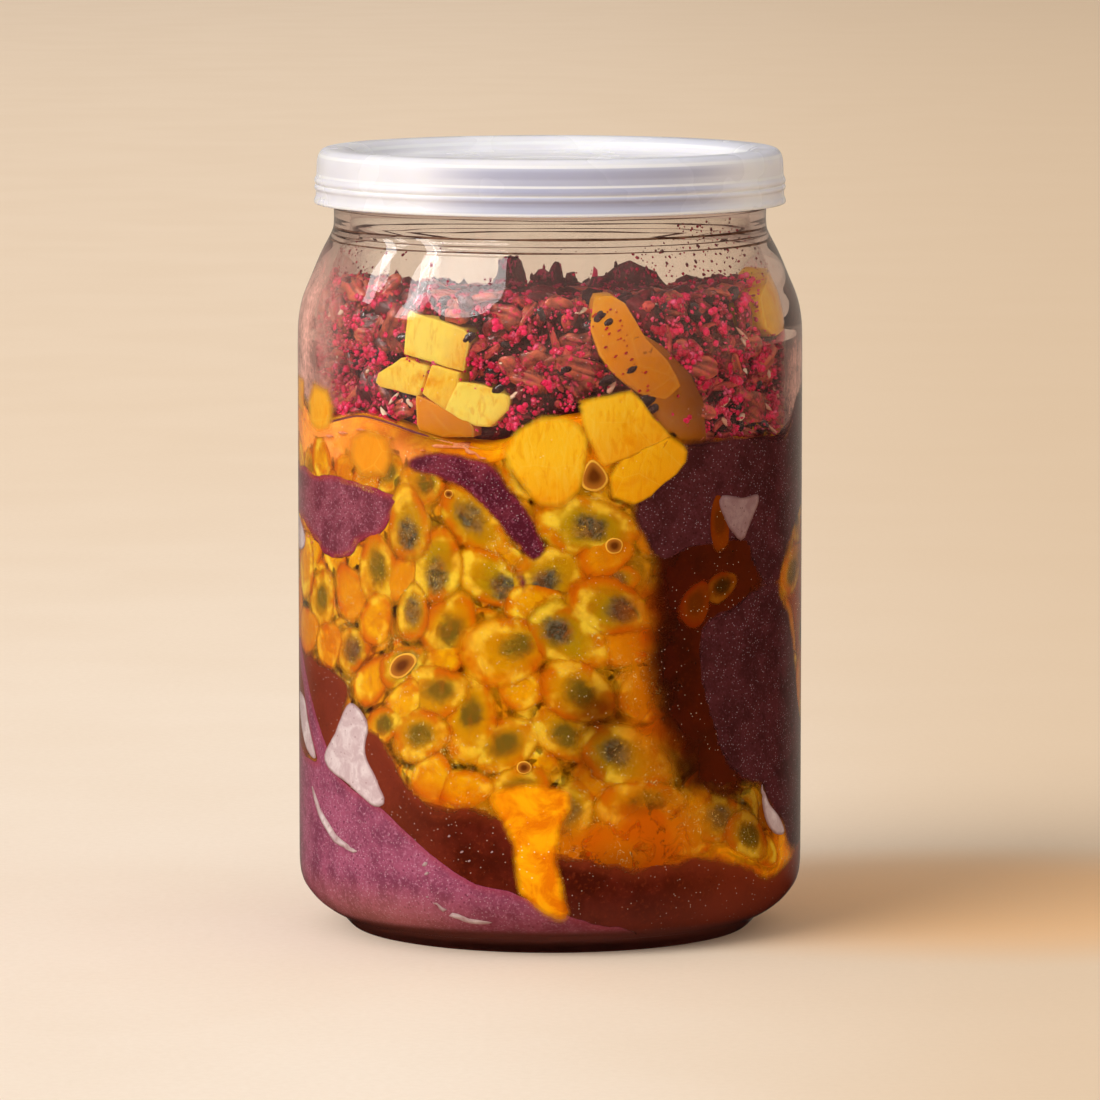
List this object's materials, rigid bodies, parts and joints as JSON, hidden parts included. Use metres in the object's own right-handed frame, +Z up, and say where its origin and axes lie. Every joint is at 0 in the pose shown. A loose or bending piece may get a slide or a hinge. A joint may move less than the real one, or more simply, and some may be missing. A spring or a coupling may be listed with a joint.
{
  "type": "jar of acai",
  "caption": "Straight-sided glass jar with a push-on lid, filled with layers of blended acai, dark juice, passion fruit pulp and diced mango under a heap of dry topping.",
  "frame": {"origin": "middle of the foot, on the surface the jar stands on", "axes": "+Z up along the jar's axis; the front, where the layers are modelled from view, faces -Y"},
  "size_m": [0.082, 0.082, 0.127],
  "materials": {
    "clear_glass": "clear, smooth",
    "milky_plastic": "translucent, satin",
    "acai_purple": "frosty, fine speckle",
    "acai_plum": "frosty, fine speckle",
    "dark_juice": "wet, dark",
    "passion_gold": "wet, translucent sacs with seeds",
    "mango_yellow": "moist, fibrous",
    "topping_red": "dry crumbs, nuts and seeds"
  },
  "bodies": {
    "root": {"jar": "clear_glass", "lid": "milky_plastic", "acai_base": "acai_purple", "acai_upper": "acai_plum", "juice": "dark_juice", "juice_pocket": "dark_juice", "passion_pulp": "passion_gold", "pulp_pocket": "passion_gold", "topping": "topping_red", "mango_01": "mango_yellow", "mango_02": "mango_yellow", "mango_03": "mango_yellow", "mango_04": "mango_yellow", "mango_05": "mango_yellow", "mango_06": "mango_yellow", "mango_07": "mango_yellow", "mango_08": "mango_yellow", "mango_09": "mango_yellow", "mango_10": "mango_yellow", "mango_11": "mango_yellow", "mango_12": "mango_yellow", "mango_13": "mango_yellow", "mango_14": "mango_yellow"}
  },
  "joints": []
}
